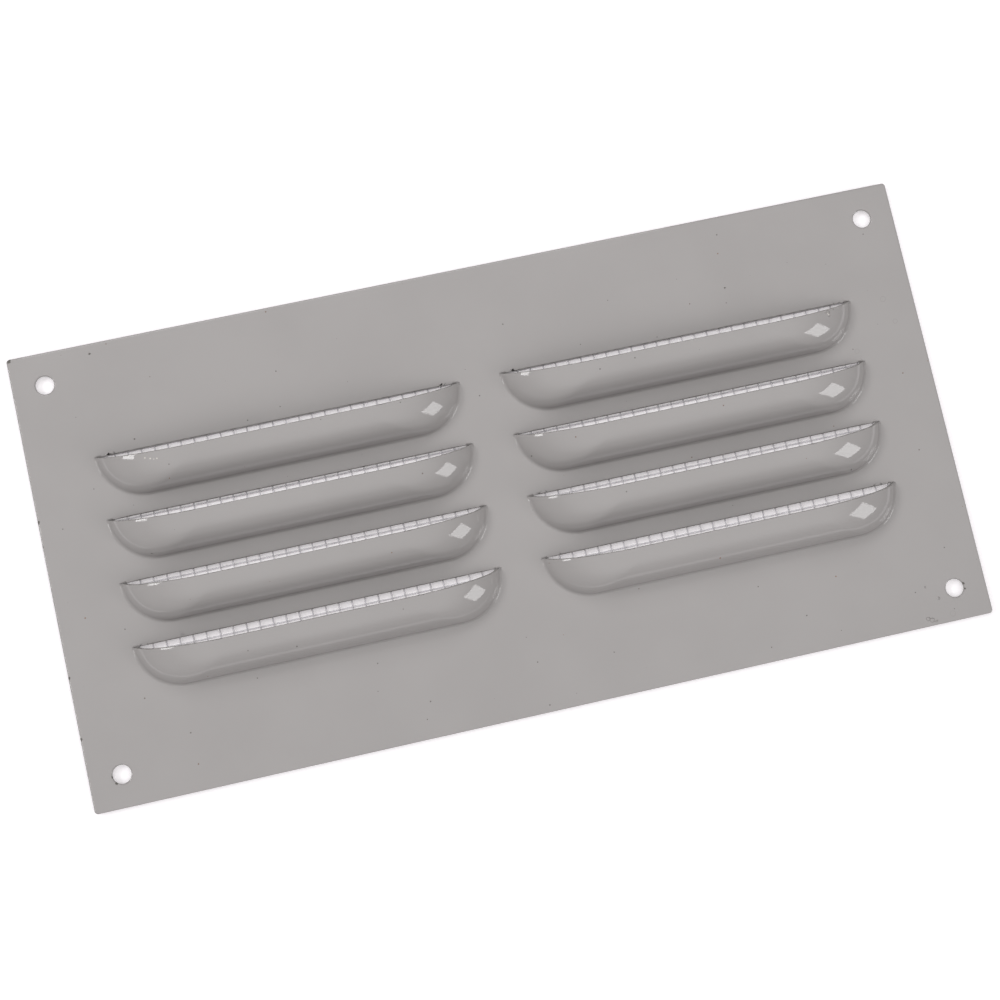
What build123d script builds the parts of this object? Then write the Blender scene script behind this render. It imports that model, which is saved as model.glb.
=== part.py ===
from build123d import *
import math
import os

# A louvred ventilation grille: one pressed, painted sheet with rows of outward hoods, and a
# square mesh bonded to its back. It lies on its back with the hoods up. X runs along the
# plate, +Y is the side that the louvre mouths face, and z = 0 is the underside of the mesh.

# Face plate
plate_length = 200.0
plate_height = 100.0
sheet_thickness = 0.8
plate_corner_radius = 0.8
screw_hole_diameter = 4.0
screw_hole_inset = 7.15

# Louvres: each one is slit along its upper side and drawn outward below the slit
louvre_column_count = 2
louvre_row_count = 4
column_spacing = 90.0
row_pitch = 14.0
top_slit_from_edge = 25.1
louvre_length = 80.0
louvre_depth = 10.0
lip_height = 8.0
lip_setback = 2.55

# Drawn form of a hood: a small radius turns the flat sheet up into the wall, which leans in
# over a short run along the lower side and over a long run at the two ends. A higher
# fullness gives a squarer shoulder. Narrow flats stand for the curves, to keep eight hoods light.
foot_radius = 0.7
end_run = 18.0
side_fullness = 2.3
end_fullness = 1.7
corner_flat_count = 8
foot_flat_count = 2
wall_flat_count = 6

# Mesh: strands as wide as they are deep, woven 2.9 mm apart. The solid has every upright
# strand, and of the level strands only some, which stand out behind the uprights as ridges.
strand_pitch = 2.9
strand_width = 0.45
mesh_thickness = 0.8
cell_count_across = 60
cell_count_up = 24
cell_count_per_gap = 12

# Heights that follow from the sizes above
plate_back = mesh_thickness
plate_front = plate_back + sheet_thickness


def lean(run, fullness, rise_share):
    """How far a drawn wall has leaned in once it has climbed a share of its height."""
    return run * (1 - (1 - rise_share**fullness) ** (1 / fullness))


def half_slot(half_length, half_depth, height):
    """The half of a round-ended slot below the slit, at a height over the plate's front face."""
    turns = [math.radians(90 * flat / corner_flat_count) for flat in range(corner_flat_count + 1)]
    straight = half_length - half_depth
    right_end = [
        (straight + half_depth * math.cos(turn), -half_depth * math.sin(turn), height)
        for turn in turns
    ]
    left_end = [(-x, y, z) for x, y, z in reversed(right_end)]
    return make_face(Polyline(*right_end, *left_end, close=True))


def hood_form(wall):
    """The drawn form below the slit, this far inside the sheet's outer skin."""
    bend = foot_radius + wall
    form_height = lip_height - wall
    foot_turns = [math.radians(90 * flat / foot_flat_count) for flat in range(foot_flat_count)]
    steps = [(foot_radius - bend * math.cos(turn), bend * (1 - math.sin(turn))) for turn in foot_turns]
    start = math.asin((foot_radius / form_height) ** (side_fullness / 2))
    for flat in range(wall_flat_count + 1):
        climb = start + (math.pi / 2 - start) * flat / wall_flat_count
        steps.append((form_height * min(1.0, math.sin(climb) ** (2 / side_fullness)), 0.0))
    outlines = []
    for height, flare in steps:
        rise_share = max(0.0, height / form_height)
        end_lean = lean(end_run - wall, end_fullness, rise_share)
        side_lean = lean(louvre_depth - lip_setback - wall, side_fullness, rise_share)
        half_length = louvre_length / 2 - wall - end_lean + flare
        half_depth = louvre_depth - wall - side_lean + flare
        outlines.append(half_slot(half_length, half_depth, height))
    return loft(outlines, ruled=True)


def side_prism(corners):
    """A prism along the louvre from corners given as (y, z)."""
    outline = Plane.YZ * make_face(Polyline(*corners, close=True))
    return extrude(outline, amount=louvre_length, both=True)


# One louvre, with the slit along y = 0 and the plate's front face at z = 0. The skin stands
# on the front face behind the leaning mouth, and the hollow opens through the sheet below it.
far_side = -2 * louvre_depth
above = 2 * lip_height
mouth_top = -lip_setback * above / lip_height
behind_mouth = side_prism([(far_side, 0), (0, 0), (mouth_top, above), (far_side, above)])
hood_skin = hood_form(0.0) & behind_mouth
hood_hollow = hood_form(sheet_thickness)

louvre_places = [
    Pos(
        (column - (louvre_column_count - 1) / 2) * column_spacing,
        plate_height / 2 - top_slit_from_edge - row * row_pitch,
        plate_front,
    )
    for column in range(louvre_column_count)
    for row in range(louvre_row_count)
]

# Face plate with its louvres pressed out and a screw hole punched at each corner
blank = RectangleRounded(plate_length, plate_height, plate_corner_radius)
blank -= GridLocations(
    plate_length - 2 * screw_hole_inset,
    plate_height - 2 * screw_hole_inset,
    2,
    2,
) * Circle(screw_hole_diameter / 2)
louvre_plate = extrude(Plane.XY.offset(plate_back) * blank, amount=sheet_thickness)
louvre_plate += [place * hood_skin for place in louvre_places]
louvre_plate -= [place * hood_hollow for place in louvre_places]

# Mesh, centred behind the louvres: a net of upright strands against the plate's back, and
# the level strands that cross them, which reach down to the mesh's underside
louvre_block_height = (louvre_row_count - 1) * row_pitch + louvre_depth
mesh_place = Pos(0, plate_height / 2 - top_slit_from_edge - louvre_block_height / 2, 0)
mesh_length = cell_count_across * strand_pitch + strand_width
gap_pitch = cell_count_per_gap * strand_pitch
gap_rows = cell_count_up // cell_count_per_gap
mesh_height = gap_rows * gap_pitch + strand_width
net = Rectangle(mesh_length, mesh_height)
net -= GridLocations(strand_pitch, gap_pitch, cell_count_across, gap_rows) * Rectangle(
    strand_pitch - strand_width,
    gap_pitch - strand_width,
)
level_strand = extrude(Rectangle(mesh_length, strand_width), amount=mesh_thickness)
insect_mesh = extrude(Plane.XY.offset(mesh_thickness - strand_width) * net, amount=strand_width)
insect_mesh += GridLocations(0, gap_pitch, 1, gap_rows + 1) * level_strand
insect_mesh = mesh_place * insect_mesh

os.makedirs("parts", exist_ok=True)
export_step(louvre_plate, "parts/louvre_plate.step")
export_step(insect_mesh, "parts/insect_mesh.step")
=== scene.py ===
import math

import bmesh
import bpy
from mathutils import Euler, Matrix, Quaternion, Vector, noise


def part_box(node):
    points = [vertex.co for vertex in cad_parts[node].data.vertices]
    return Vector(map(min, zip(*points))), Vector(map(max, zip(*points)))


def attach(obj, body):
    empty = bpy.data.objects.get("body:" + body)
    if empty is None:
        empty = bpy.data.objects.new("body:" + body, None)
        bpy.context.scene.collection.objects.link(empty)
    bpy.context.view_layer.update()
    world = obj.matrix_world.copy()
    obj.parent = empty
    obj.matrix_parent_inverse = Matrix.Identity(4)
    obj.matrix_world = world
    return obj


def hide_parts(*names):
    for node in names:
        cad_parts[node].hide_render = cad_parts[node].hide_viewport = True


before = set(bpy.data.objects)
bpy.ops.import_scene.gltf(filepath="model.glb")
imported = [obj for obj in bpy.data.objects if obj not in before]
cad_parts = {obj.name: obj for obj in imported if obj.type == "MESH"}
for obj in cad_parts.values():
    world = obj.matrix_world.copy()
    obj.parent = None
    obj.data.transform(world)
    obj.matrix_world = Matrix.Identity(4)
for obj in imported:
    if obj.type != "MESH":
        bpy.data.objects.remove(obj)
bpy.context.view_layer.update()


# Louvre plate. One sheet of mild steel, slit in two columns of four, each flap drawn outward
# into a hood by a press, then punched at the corners and sprayed with glossy grey paint.
# The paint rounds every cut edge and sits a little wavy on the metal.

mm = 0.001
plate_low, plate_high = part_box("louvre_plate")
plate_length = plate_high[0] - plate_low[0]
plate_height = plate_high[1] - plate_low[1]
sheet = 0.8 * mm
lip_height = 8.0 * mm
plate_front = plate_high[2] - lip_height
corner_radius = 0.8 * mm
corner_flats = 5
hole_radius = 2.0 * mm
hole_inset = 7.15 * mm
hole_flats = 48

row_count = 4
column_spacing = 90.0 * mm
row_pitch = 14.0 * mm
top_slit_from_edge = 25.1 * mm
louvre_length = 80.0 * mm
louvre_depth = 10.0 * mm
lip_setback = 2.55 * mm
foot_radius = 0.7 * mm
end_run = 18.0 * mm
side_fullness = 2.3
end_fullness = 1.7
flats_round = 18
flats_along = 20
flats_up_foot = 6
flats_up_wall = 28

edge_round = 0.35 * mm
edge_round_flats = 3
edge_margin = 0.6 * mm
mouth_round_share = 0.5
sharp_tip_share = 0.5
slit_step = 0.5 * mm
burr_height = 0.08 * mm
burr_reach = 3.0 * mm
burr_share_far_from_tips = 0.15
burr_spacing = 2 * slit_step
fill_skew = 0.4
weld = 0.001 * mm


def lean(run, fullness, rise_share):
    """How far a drawn wall has leaned in once it has climbed a share of its height."""
    return run * (1 - (1 - rise_share**fullness) ** (1 / fullness))


def hood_level(step):
    """Height, end reach and depth of the drawn wall at one step up from the flat sheet."""
    if step == 0:
        height = 0.0
        flare = foot_radius + edge_margin
    elif step <= flats_up_foot:
        turn = math.pi / 2 * (step - 1) / flats_up_foot
        height = foot_radius * (1 - math.cos(turn))
        flare = foot_radius * (1 - math.sin(turn))
    else:
        start = math.asin((foot_radius / lip_height) ** (side_fullness / 2))
        climb = start + (math.pi / 2 - start) * (step - flats_up_foot - 1) / flats_up_wall
        height = lip_height * min(1.0, math.sin(climb) ** (2 / side_fullness))
        flare = 0.0
    rise_share = height / lip_height
    half_length = louvre_length / 2 - lean(end_run, end_fullness, rise_share) + flare
    half_depth = louvre_depth - lean(louvre_depth - lip_setback, side_fullness, rise_share) + flare
    return height, half_length, half_depth


def draw_hood(bm, place):
    """Bends a flat grid into one hood at its place, from the sheet around its foot up to its lip."""
    steps_up = flats_up_foot + flats_up_wall + 1
    steps_along = 2 * flats_round + flats_along
    grid = bmesh.ops.create_grid(bm, x_segments=steps_along, y_segments=steps_up, size=0.5)
    for vert in grid["verts"]:
        height, half_length, half_depth = hood_level(round((vert.co.y + 0.5) * steps_up))
        along = round((vert.co.x + 0.5) * steps_along)
        straight = half_length - half_depth
        lip_turn = math.asin(min(1.0, lip_setback * height / lip_height / half_depth))
        from_end = min(along, steps_along - along, flats_round)
        turn = lip_turn + (math.pi / 2 - lip_turn) * from_end / flats_round
        reach = straight + half_depth * math.cos(turn)
        side = (along - steps_along / 2) / (flats_along / 2)
        x = reach * max(-1.0, min(1.0, side))
        vert.co = place + Vector((x, -half_depth * math.sin(turn), height))
    bmesh.ops.remove_doubles(bm, verts=grid["verts"], dist=weld)


# Both edge layers come first, because a new layer drops every edge that was found before it
plate = bmesh.new()
plate.edges.layers.float.new("rim_rounded")
plate.edges.layers.float.new("mouth_rounded")
top_slit = plate_height / 2 - top_slit_from_edge
louvre_places = [
    Vector((side * column_spacing / 2, top_slit - row * row_pitch, plate_front))
    for side in (-1, 1)
    for row in range(row_count)
]
for louvre_place in louvre_places:
    draw_hood(plate, louvre_place)

# The flat sheet is filled in between a narrow margin around each slit and hood, each hole and
# the outline. The slits have fine burrs, longest near their ends.
mouth_edges = [
    edge
    for edge in plate.edges
    if edge.is_boundary and max(vert.co.z for vert in edge.verts) > plate_front + weld
]
slit_end = louvre_length / 2 + foot_radius
tip_places = []
for louvre_place in louvre_places:
    ends = [louvre_place + Vector((side * slit_end, 0, 0)) for side in (-1, 1)]
    tips = [min(plate.verts, key=lambda vert: (vert.co - end).length) for end in ends]
    slit = plate.edges.new(tips)
    bmesh.ops.subdivide_edges(plate, edges=[slit], cuts=round(2 * slit_end / slit_step) - 1)
    slit_edges = [edge for edge in plate.edges if edge.is_wire]
    upper = bmesh.ops.extrude_edge_only(plate, edges=slit_edges)["geom"]
    upper = [part for part in upper if isinstance(part, bmesh.types.BMVert)]
    bmesh.ops.translate(plate, verts=upper, vec=(0, edge_margin, 0))
    for vert in {vert for edge in slit_edges for vert in edge.verts if vert not in tips}:
        from_tip = slit_end - abs(vert.co.x - louvre_place.x)
        burr = burr_height * (burr_share_far_from_tips + math.exp(-from_tip / burr_reach))
        vert.co.y += burr * noise.noise(vert.co / burr_spacing)
    mouth_edges += slit_edges
    tip_places += ends

rim_edges = []
hole_x = plate_length / 2 - hole_inset
hole_y = plate_height / 2 - hole_inset
for side_x in (-1, 1):
    for side_y in (-1, 1):
        rims = []
        for radius in (hole_radius, hole_radius + edge_margin):
            rim = bmesh.ops.create_circle(plate, segments=hole_flats, radius=radius)["verts"]
            bmesh.ops.translate(plate, verts=rim, vec=(side_x * hole_x, side_y * hole_y, plate_front))
            rims.append(list({edge for vert in rim for edge in vert.link_edges}))
        bmesh.ops.bridge_loops(plate, edges=rims[0] + rims[1])
        rim_edges += rims[0]

outlines = []
half_flat = Matrix.Rotation(math.pi / 4 / corner_flats, 3, "Z")
for radius in (corner_radius, corner_radius - edge_margin):
    outline = bmesh.ops.create_circle(plate, segments=4 * corner_flats, radius=radius)["verts"]
    bmesh.ops.rotate(plate, verts=outline, matrix=half_flat)
    for vert in outline:
        vert.co.x += math.copysign(plate_length / 2 - corner_radius, vert.co.x)
        vert.co.y += math.copysign(plate_height / 2 - corner_radius, vert.co.y)
        vert.co.z = plate_front
    outlines.append(list({edge for vert in outline for edge in vert.link_edges}))
bmesh.ops.bridge_loops(plate, edges=outlines[0] + outlines[1])
rim_edges += outlines[0]

# The fill is made with the sheet turned askew, so that no row of points lies along an axis
cut_edges = set(mouth_edges + rim_edges)
sheet_edges = [edge for edge in plate.edges if edge.is_boundary and edge not in cut_edges]
skew = Matrix.Rotation(fill_skew, 3, "Z")
bmesh.ops.rotate(plate, verts=plate.verts, matrix=skew)
bmesh.ops.triangle_fill(plate, edges=sheet_edges, use_beauty=True, normal=(0, 0, 1))
bmesh.ops.rotate(plate, verts=plate.verts, matrix=skew.transposed())
bmesh.ops.recalc_face_normals(plate, faces=plate.faces)

# Paint rounds every cut edge, the slits and lips less than the rest, and not at all at their ends
rim_rounded = plate.edges.layers.float["rim_rounded"]
mouth_rounded = plate.edges.layers.float["mouth_rounded"]
for edge in rim_edges:
    edge[rim_rounded] = 1.0
for edge in mouth_edges:
    from_tip = min((vert.co - tip).length for vert in edge.verts for tip in tip_places)
    roundness = max(0.0, min(1.0, from_tip / burr_reach - sharp_tip_share))
    edge[mouth_rounded] = mouth_round_share * roundness
plate_mesh = bpy.data.meshes.new("louvre_plate_painted")
plate.to_mesh(plate_mesh)
plate.free()
plate_mesh.shade_smooth()
louvre_plate = bpy.data.objects.new("louvre_plate_painted", plate_mesh)
bpy.context.collection.objects.link(louvre_plate)

wall = louvre_plate.modifiers.new("sheet_thickness", "SOLIDIFY")
wall.thickness = sheet
wall.offset = -1
# The cut faces take the second material, the darker grey of painted edge shade
wall.material_offset_rim = 1
# The slit and lip roundings take the painted edge shade as well, and the outline and hole roundings keep the
# paint
for weights, skin in (("rim_rounded", 0), ("mouth_rounded", 1)):
    rounding = louvre_plate.modifiers.new(weights, "BEVEL")
    rounding.width = edge_round
    rounding.segments = edge_round_flats
    rounding.limit_method = "WEIGHT"
    rounding.edge_weight = weights
    rounding.use_clamp_overlap = False
    rounding.loop_slide = False
    rounding.material = skin
shading = louvre_plate.modifiers.new("even_shading", "WEIGHTED_NORMAL")
shading.keep_sharp = False


def linear(hex_colour):
    """An sRGB hex colour as linear red, green, blue and alpha."""
    channels = [int(hex_colour[i : i + 2], 16) / 255 for i in (1, 3, 5)]
    return [c / 12.92 if c <= 0.04045 else ((c + 0.055) / 1.055) ** 2.4 for c in channels] + [1]


def add(tree, kind, settings=(), inputs=()):
    """Adds a node with its settings, and sets its inputs or links them to sockets or to nodes."""
    node = tree.nodes.new(kind)
    for name, value in dict(settings).items():
        setattr(node, name, value)
    for name, value in dict(inputs).items():
        if isinstance(value, bpy.types.Node):
            value = value.outputs[0]
        if isinstance(value, bpy.types.NodeSocket):
            tree.links.new(value, node.inputs[name])
        else:
            node.inputs[name].default_value = value
    return node


def nearest(tree, place, spots):
    """Distance from the rim of the nearest round spot, each given as x, y, z and radius."""
    nearest_rim = 1000.0
    for x, y, z, radius in spots:
        distance = add(tree, "ShaderNodeVectorMath", {"operation": "DISTANCE"}, {0: place, 1: (x, y, z)})
        from_middle = distance.outputs["Value"]
        rim = add(tree, "ShaderNodeMath", {"operation": "SUBTRACT"}, {0: from_middle, 1: radius})
        nearest_rim = add(tree, "ShaderNodeMath", {"operation": "MINIMUM"}, {0: rim, 1: nearest_rim})
    return nearest_rim


# Glossy grey paint on steel: one wet coat, a little cloudy and wavy, with grit in it. It is
# chipped to the dark metal on some edges, and it carries lumps and scuffs ringed with painted
# shade, small painted glints and dried water rings. All sizes, places and heights are in millimetres.
smooth = {"interpolation_type": "SMOOTHSTEP"}
front = plate_front / mm
cloud_size = 22.0
grit_spacing = 8.5
largest_grit = 0.17
ring_width = 0.09
ring_strength = 0.25
lump_grain_size = 0.7
lump_raggedness = 0.8
lump_rim_shade_width = 0.12
lump_rim_shade_strength = 0.55
glint_strength = 0.8
chip_grain_size = 0.5
chip_raggedness = 0.5
chip_roughness = 0.55
smudge_size = 14.0
wave_size = 7.0
peel_size = 1.0
lump_relief = 0.15
wave_relief = 0.004
peel_relief = 0.0003
chip_relief = -0.05
grit_relief = 0.01

paint = bpy.data.materials.new("gloss_grey_paint_on_steel")
paint.use_nodes = True
tree = paint.node_tree
shader = tree.nodes["Principled BSDF"]
object_place = add(tree, "ShaderNodeTexCoord").outputs["Object"]
place = add(tree, "ShaderNodeMapping", (), {"Vector": object_place, "Scale": (1 / mm,) * 3})

cloud = add(tree, "ShaderNodeTexNoise", (), {"Vector": place, "Scale": 1 / cloud_size, "Detail": 4.0})
cloud_shows = add(
    tree,
    "ShaderNodeMapRange",
    smooth,
    {"Value": cloud, "From Min": 0.3, "From Max": 0.7},
)
coat = add(
    tree,
    "ShaderNodeMixRGB",
    (),
    {"Fac": cloud_shows, "Color1": linear("#A6A2A1"), "Color2": linear("#A9A5A4")},
)

grit = add(
    tree,
    "ShaderNodeTexVoronoi",
    {"voronoi_dimensions": "2D"},
    {"Vector": place, "Scale": 1 / grit_spacing},
)
grit_kind = add(tree, "ShaderNodeSeparateColor", (), {"Color": grit.outputs["Color"]})
grit_radius = add(
    tree,
    "ShaderNodeMapRange",
    smooth,
    {"Value": grit_kind.outputs["Red"], "From Min": 0.35, "To Max": largest_grit / grit_spacing},
)
grit_shows = add(
    tree,
    "ShaderNodeMath",
    {"operation": "LESS_THAN"},
    {0: grit.outputs["Distance"], 1: grit_radius},
)
grit_rust = add(
    tree,
    "ShaderNodeMapRange",
    smooth,
    {"Value": grit_kind.outputs["Green"], "From Min": 0.6, "From Max": 0.9},
)
grit_colour = add(
    tree,
    "ShaderNodeMixRGB",
    (),
    {"Fac": grit_rust, "Color1": linear("#7A7774"), "Color2": linear("#8F7668")},
)
coat = add(tree, "ShaderNodeMixRGB", (), {"Fac": grit_shows, "Color1": coat, "Color2": grit_colour})

rings = nearest(
    tree,
    place,
    [
        (94.5, 18.3, front, 0.5),
        (93.0, 23.8, front, 0.6),
        (84.3, 13.4, front, 0.5),
        (91.0, -48.3, front, 0.6),
    ],
)
from_ring = add(tree, "ShaderNodeMath", {"operation": "ABSOLUTE"}, {0: rings})
ring_shows = add(
    tree,
    "ShaderNodeMapRange",
    smooth,
    {"Value": from_ring, "From Min": ring_width, "From Max": 0.0, "To Max": ring_strength},
)
coat = add(tree, "ShaderNodeMixRGB", (), {"Fac": ring_shows, "Color1": coat, "Color2": linear("#76736E")})

lumps = nearest(
    tree,
    place,
    [
        (77.9, 22.8, front + 5.6, 0.35),
        (78.5, 22.4, front + 5.4, 0.40),
        (78.5, 21.7, front + 5.3, 0.25),
        (79.8, 22.9, front + 4.8, 0.20),
        (85.3, -48.3, front, 0.35),
        (86.1, -48.7, front, 0.50),
        (87.1, -49.1, front, 0.25),
        (88.7, -44.3, front, 0.18),
        (86.3, -41.3, front, 0.12),
    ],
)
lump_grain = add(tree, "ShaderNodeTexNoise", (), {"Vector": place, "Scale": 1 / lump_grain_size})
lump_waver = add(
    tree,
    "ShaderNodeMath",
    {"operation": "MULTIPLY_ADD"},
    {0: lump_grain, 1: lump_raggedness, 2: -lump_raggedness / 2},
)
lumps = add(tree, "ShaderNodeMath", {"operation": "ADD"}, {0: lumps, 1: lump_waver})
# Painted shade: a darker ring round the rim of each lump and scuff, where its raised edge would shade
from_lump_rim = add(tree, "ShaderNodeMath", {"operation": "ABSOLUTE"}, {0: lumps})
painted_lump_shade = add(
    tree,
    "ShaderNodeMapRange",
    smooth,
    {"Value": from_lump_rim, "From Min": lump_rim_shade_width, "From Max": 0.0, "To Max": lump_rim_shade_strength},
)
coat = add(tree, "ShaderNodeMixRGB", (), {"Fac": painted_lump_shade, "Color1": coat, "Color2": linear("#76726E")})

# Painted glints: small pale spots on one lump and just below the lip at one hood's left end, where the light
# catches them
painted_glints = nearest(
    tree,
    place,
    [
        (-74.3, 21.5, front + 6.7, 0.12),
        (-73.2, 21.1, front + 6.9, 0.14),
        (-72.5, 20.8, front + 7.1, 0.10),
        (-71.8, 20.8, front + 7.2, 0.12),
        (78.5, 21.9, front + 5.3, 0.14),
        (78.3, 22.2, front + 5.4, 0.10),
    ],
)
painted_glint_shows = add(
    tree,
    "ShaderNodeMapRange",
    smooth,
    {"Value": painted_glints, "From Min": 0.10, "From Max": -0.05, "To Max": glint_strength},
)
coat = add(tree, "ShaderNodeMixRGB", (), {"Fac": painted_glint_shows, "Color1": coat, "Color2": linear("#E6E1D8")})

chips = nearest(
    tree,
    place,
    [
        (-99.5, 49.7, front, 0.55),
        (-99.9, 13.6, front, 0.35),
        (-100.0, 8.2, front, 0.30),
        (-99.9, -20.6, front, 0.35),
        (-99.9, -33.8, front, 0.35),
        (-94.8, -43.0, front, 0.30),
        (-94.3, -44.5, front, 0.28),
        (94.9, -42.3, front, 0.28),
        (95.0, -43.5, front, 0.22),
        (-77.3, 1.8, front + 2.1, 0.22),
        (-82.1, 47.7, front, 0.20),
        (-76.2, 27.2, front, 0.20),
        (58.4, 33.6, front, 0.20),
    ],
)
chip_grain = add(tree, "ShaderNodeTexNoise", (), {"Vector": place, "Scale": 1 / chip_grain_size})
chip_waver = add(
    tree,
    "ShaderNodeMath",
    {"operation": "MULTIPLY_ADD"},
    {0: chip_grain, 1: chip_raggedness, 2: -chip_raggedness / 2},
)
chips = add(tree, "ShaderNodeMath", {"operation": "ADD"}, {0: chips, 1: chip_waver})
chip_shows = add(
    tree,
    "ShaderNodeMapRange",
    smooth,
    {"Value": chips, "From Min": 0.05, "From Max": -0.05},
)
coat = add(tree, "ShaderNodeMixRGB", (), {"Fac": chip_shows, "Color1": coat, "Color2": linear("#64615C")})
tree.links.new(coat.outputs[0], shader.inputs["Base Color"])

smudge = add(tree, "ShaderNodeTexNoise", (), {"Vector": place, "Scale": 1 / smudge_size, "Detail": 3.0})
coat_gloss = add(
    tree,
    "ShaderNodeMapRange",
    smooth,
    {"Value": smudge, "From Min": 0.35, "From Max": 0.75, "To Min": 0.045, "To Max": 0.085},
)
chip_gloss = add(tree, "ShaderNodeMath", {"operation": "MULTIPLY"}, {0: chip_shows, 1: chip_roughness})
gloss = add(tree, "ShaderNodeMath", {"operation": "MAXIMUM"}, {0: coat_gloss, 1: chip_gloss})
tree.links.new(gloss.outputs[0], shader.inputs["Roughness"])
shader.inputs["IOR"].default_value = 1.5

wave = add(tree, "ShaderNodeTexNoise", (), {"Vector": place, "Scale": 1 / wave_size, "Detail": 1.0})
peel = add(tree, "ShaderNodeTexNoise", (), {"Vector": place, "Scale": 1 / peel_size, "Detail": 1.0})
relief = add(
    tree,
    "ShaderNodeMapRange",
    smooth,
    {"Value": lumps, "From Min": 0.2, "From Max": -0.3, "To Max": lump_relief},
)
for layer, layer_relief in (
    (wave, wave_relief),
    (peel, peel_relief),
    (chip_shows, chip_relief),
    (grit_shows, grit_relief),
):
    relief = add(
        tree,
        "ShaderNodeMath",
        {"operation": "MULTIPLY_ADD"},
        {0: layer, 1: layer_relief, 2: relief},
    )
bump = add(tree, "ShaderNodeBump", (), {"Height": relief, "Strength": 1.0, "Distance": mm})
tree.links.new(bump.outputs[0], shader.inputs["Normal"])
louvre_plate.data.materials.append(paint)

# Cut faces of the sheet and the rounded slit and lip edges: a darker, patchy grey, which is painted shade for
# the dark lines along these edges.
edge_shade_patch_size = 1.5
cut_edge = bpy.data.materials.new("darker_grey_painted_edge_shade")
cut_edge.use_nodes = True
tree = cut_edge.node_tree
shader = tree.nodes["Principled BSDF"]
object_place = add(tree, "ShaderNodeTexCoord").outputs["Object"]
place = add(tree, "ShaderNodeMapping", (), {"Vector": object_place, "Scale": (1 / mm,) * 3})
edge_shade_patches = add(tree, "ShaderNodeTexNoise", (), {"Vector": place, "Scale": 1 / edge_shade_patch_size, "Detail": 3.0})
edge_shade_patch_shows = add(
    tree,
    "ShaderNodeMapRange",
    smooth,
    {"Value": edge_shade_patches, "From Min": 0.35, "From Max": 0.65},
)
# Painted shade: two darker greys for the dark lines along the cut edges
steel = add(
    tree,
    "ShaderNodeMixRGB",
    (),
    {"Fac": edge_shade_patch_shows, "Color1": linear("#8A8784"), "Color2": linear("#9E9B98")},
)
tree.links.new(steel.outputs[0], shader.inputs["Base Color"])
shader.inputs["Roughness"].default_value = 0.25
louvre_plate.data.materials.append(cut_edge)

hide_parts("louvre_plate")
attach(louvre_plate, "root")


# Insect mesh. A plain-woven square net of pale plastic strands, 2.9 mm apart, bonded flat
# against the back of the plate. Each strand waves over and under the ones that cross it.

mesh_low, mesh_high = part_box("insect_mesh")
mesh_middle = [(low + high) / 2 for low, high in zip(mesh_low, mesh_high)]
strand_pitch = 2.9 * mm
strand_radius = 0.19 * mm
strand_sides = 6
steps_per_cell = 4
cells_across = 60
cells_up = 24


def weave_strand(bm, cells, number, crosses):
    """Lays one strand along X, over and under the strands that cross it, or turns it along Y."""
    length = cells * strand_pitch
    already_laid = len(bm.verts)
    rod = bmesh.ops.create_cone(
        bm,
        cap_ends=True,
        segments=strand_sides,
        radius1=strand_radius,
        radius2=strand_radius,
        depth=length,
        matrix=Matrix.Rotation(math.pi / 2, 4, "Y"),
    )["verts"]
    long_edges = {edge for vert in rod for edge in vert.link_edges if edge.calc_length() > length / 2}
    bmesh.ops.subdivide_edges(bm, edges=list(long_edges), cuts=cells * steps_per_cell - 1)
    bm.verts.ensure_lookup_table()
    strand = bm.verts[already_laid:]
    sign = (-1) ** number * (1 if crosses else -1)
    for vert in strand:
        vert.co.z += sign * strand_radius * math.cos(math.pi * (vert.co.x / strand_pitch + cells / 2))
    if crosses:
        bmesh.ops.rotate(bm, verts=strand, matrix=Matrix.Rotation(math.pi / 2, 3, "Z"))
    side = (number - (cells_across if crosses else cells_up) / 2) * strand_pitch
    bmesh.ops.translate(bm, verts=strand, vec=(side, 0, 0) if crosses else (0, side, 0))


net = bmesh.new()
for number in range(cells_across + 1):
    weave_strand(net, cells_up, number, True)
for number in range(cells_up + 1):
    weave_strand(net, cells_across, number, False)
bmesh.ops.translate(net, verts=net.verts, vec=mesh_middle)
net_mesh = bpy.data.meshes.new("insect_mesh_woven")
net.to_mesh(net_mesh)
net.free()
net_mesh.shade_smooth()
insect_mesh = bpy.data.objects.new("insect_mesh_woven", net_mesh)
bpy.context.collection.objects.link(insect_mesh)

# Drawn plastic strand: pale, milky and a little see-through, cloudier in some places.
milk_patch_size = 5.0
plastic = bpy.data.materials.new("drawn_plastic_strand")
plastic.use_nodes = True
tree = plastic.node_tree
shader = tree.nodes["Principled BSDF"]
object_place = add(tree, "ShaderNodeTexCoord").outputs["Object"]
place = add(tree, "ShaderNodeMapping", (), {"Vector": object_place, "Scale": (1 / mm,) * 3})
milk = add(tree, "ShaderNodeTexNoise", (), {"Vector": place, "Scale": 1 / milk_patch_size, "Detail": 3.0})
milk_shows = add(
    tree,
    "ShaderNodeMapRange",
    smooth,
    {"Value": milk, "From Min": 0.3, "From Max": 0.7},
)
milky = add(
    tree,
    "ShaderNodeMixRGB",
    (),
    {"Fac": milk_shows, "Color1": linear("#DDDADE"), "Color2": linear("#ECE9ED")},
)
dullness = add(
    tree,
    "ShaderNodeMapRange",
    smooth,
    {"Value": milk, "From Min": 0.3, "From Max": 0.7, "To Min": 0.65, "To Max": 0.50},
)
tree.links.new(milky.outputs[0], shader.inputs["Base Color"])
tree.links.new(dullness.outputs[0], shader.inputs["Roughness"])
shader.inputs["Specular IOR Level"].default_value = 0.2
shader.inputs["Alpha"].default_value = 0.33
insect_mesh.data.materials.append(plastic)

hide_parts("insect_mesh")
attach(insect_mesh, "root")


# Studio. A white table top that fills the picture and keeps the grille's soft shadow, three soft
# boxes to the right, the left and the back, and a pale room that is brightest overhead. The
# table is lifted to white only where the camera sees it, straight or in a reflection.

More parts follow.
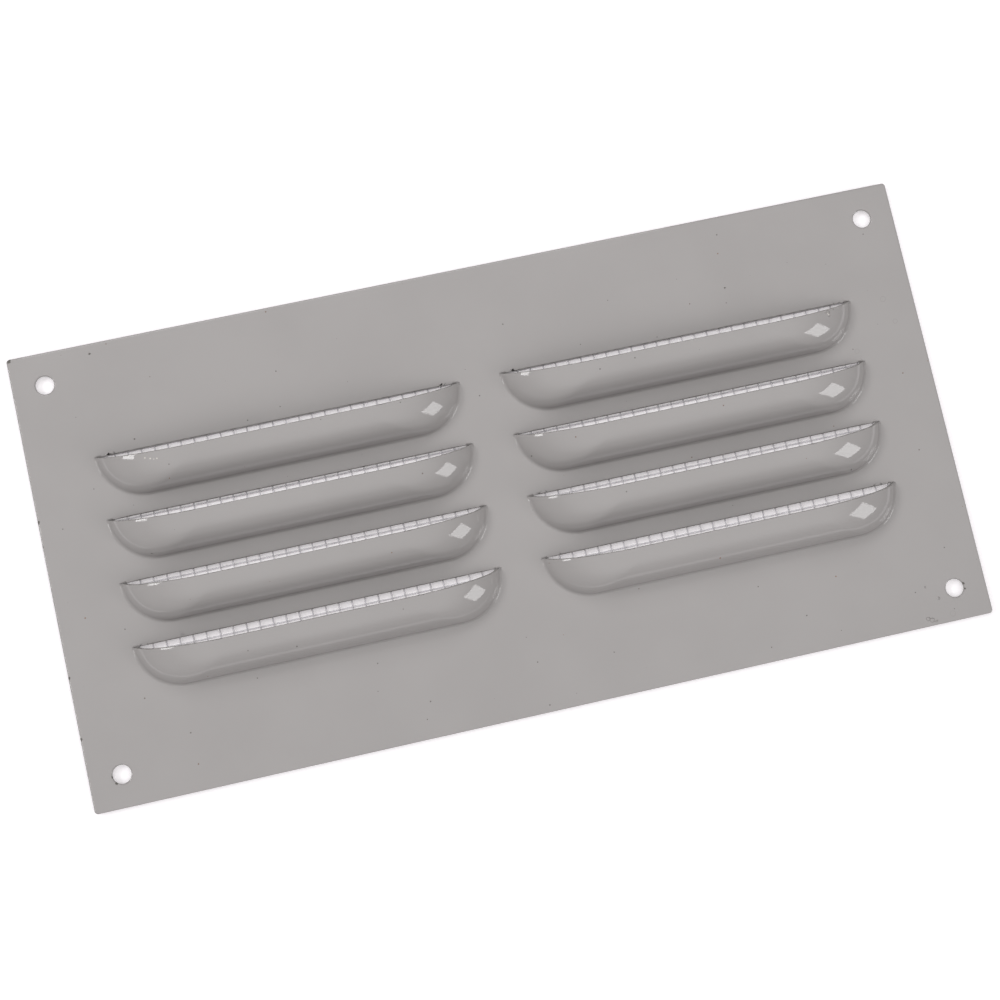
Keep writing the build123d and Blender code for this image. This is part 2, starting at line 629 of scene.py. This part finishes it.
table_reach = 3.0
table_lift = 0.34
floor = bmesh.new()
bmesh.ops.create_grid(floor, x_segments=1, y_segments=1, size=table_reach)
floor_mesh = bpy.data.meshes.new("white_table")
floor.to_mesh(floor_mesh)
floor.free()
table = bpy.data.objects.new("white_table", floor_mesh)
bpy.context.collection.objects.link(table)
white = bpy.data.materials.new("white_table_laminate")
white.use_nodes = True
tree = white.node_tree
tree.nodes.remove(tree.nodes["Principled BSDF"])
path = add(tree, "ShaderNodeLightPath")
seen = path.outputs["Is Camera Ray"]
for ray in ("Is Glossy Ray", "Is Transmission Ray"):
    seen = add(tree, "ShaderNodeMath", {"operation": "MAXIMUM"}, {0: seen, 1: path.outputs[ray]})
shine = add(tree, "ShaderNodeMath", {"operation": "MULTIPLY"}, {0: seen, 1: table_lift})
pale = add(tree, "ShaderNodeBsdfDiffuse", (), {"Color": linear("#F0EEF0")})
glow = add(tree, "ShaderNodeEmission", (), {"Color": linear("#FFFAFC"), "Strength": shine})
shown = add(tree, "ShaderNodeAddShader", (), {0: pale, 1: glow})
tree.links.new(shown.outputs[0], tree.nodes["Material Output"].inputs["Surface"])
floor_mesh.materials.append(white)

ceiling_direction = (0.0, -0.17, 0.985)
room = bpy.data.worlds.new("studio_room")
room.use_nodes = True
tree = room.node_tree
background = tree.nodes["Background"]
background.inputs["Color"].default_value = linear("#FFFFFF")
outward = add(tree, "ShaderNodeTexCoord").outputs["Generated"]
outward_parts = add(tree, "ShaderNodeSeparateXYZ", (), {0: outward})
walls = add(
    tree,
    "ShaderNodeMapRange",
    smooth,
    {
        "Value": outward_parts.outputs["Y"],
        "From Min": -0.7,
        "From Max": 0.4,
        "To Min": 0.34,
        "To Max": 0.16,
    },
)
overhead = add(tree, "ShaderNodeVectorMath", {"operation": "DOT_PRODUCT"}, {0: outward, 1: ceiling_direction})
ceiling = add(
    tree,
    "ShaderNodeMapRange",
    smooth,
    {"Value": overhead.outputs["Value"], "From Min": 0.60, "From Max": 0.95, "To Max": 0.85},
)
room_light = add(tree, "ShaderNodeMath", {"operation": "ADD"}, {0: walls, 1: ceiling})
tree.links.new(room_light.outputs[0], background.inputs["Strength"])
bpy.context.scene.world = room

# Each soft box is turned, raised and rolled in degrees, with its distance and size in metres
for name, turn, rise, roll, distance, width, height, radiance in (
    ("softbox_right", -26.6, 29.4, 72, 2.2, 0.89, 0.63, 5.2),
    ("softbox_left", 163, 41, 0, 2.2, 1.25, 0.42, 8.5),
    ("softbox_back", 92, 50, 0, 0.45, 0.30, 0.20, 2.0),
):
    away = Vector((1, 0, 0))
    away.rotate(Euler((0, -math.radians(rise), math.radians(turn))))
    lamp = bpy.data.lights.new(name, "AREA")
    lamp.shape = "RECTANGLE"
    lamp.size = width
    lamp.size_y = height
    lamp.energy = radiance * math.pi * width * height
    softbox = bpy.data.objects.new(name, lamp)
    softbox.location = away * distance
    aim = away.to_track_quat("Z", "Y") @ Quaternion((0, 0, 1), math.radians(roll))
    softbox.rotation_euler = aim.to_euler()
    softbox.visible_camera = False
    bpy.context.collection.objects.link(softbox)


# Camera. A short telephoto, held over the grille a little to its left and below its middle,
# and rolled so that the plate lies aslant in the picture.

camera_place = Vector((-39.107, -47.895, 403.557)) * mm + Vector((0, 0, plate_front))
camera_target = Vector((-1.467, -2.545, 0)) * mm + Vector((0, 0, plate_front))
camera_roll = math.radians(12.64)
lens = bpy.data.cameras.new("camera")
lens.lens = 67.06
lens.sensor_width = 36.0
lens.clip_start = 0.01
camera = bpy.data.objects.new("camera", lens)
forward = (camera_target - camera_place).normalized()
right = forward.cross(Vector((math.sin(camera_roll), math.cos(camera_roll), 0))).normalized()
camera.matrix_world = Matrix.LocRotScale(
    camera_place,
    Matrix((right, right.cross(forward), -forward)).transposed().to_quaternion(),
    None,
)
bpy.context.collection.objects.link(camera)
bpy.context.scene.camera = camera

bpy.context.scene.view_settings.view_transform = "Standard"
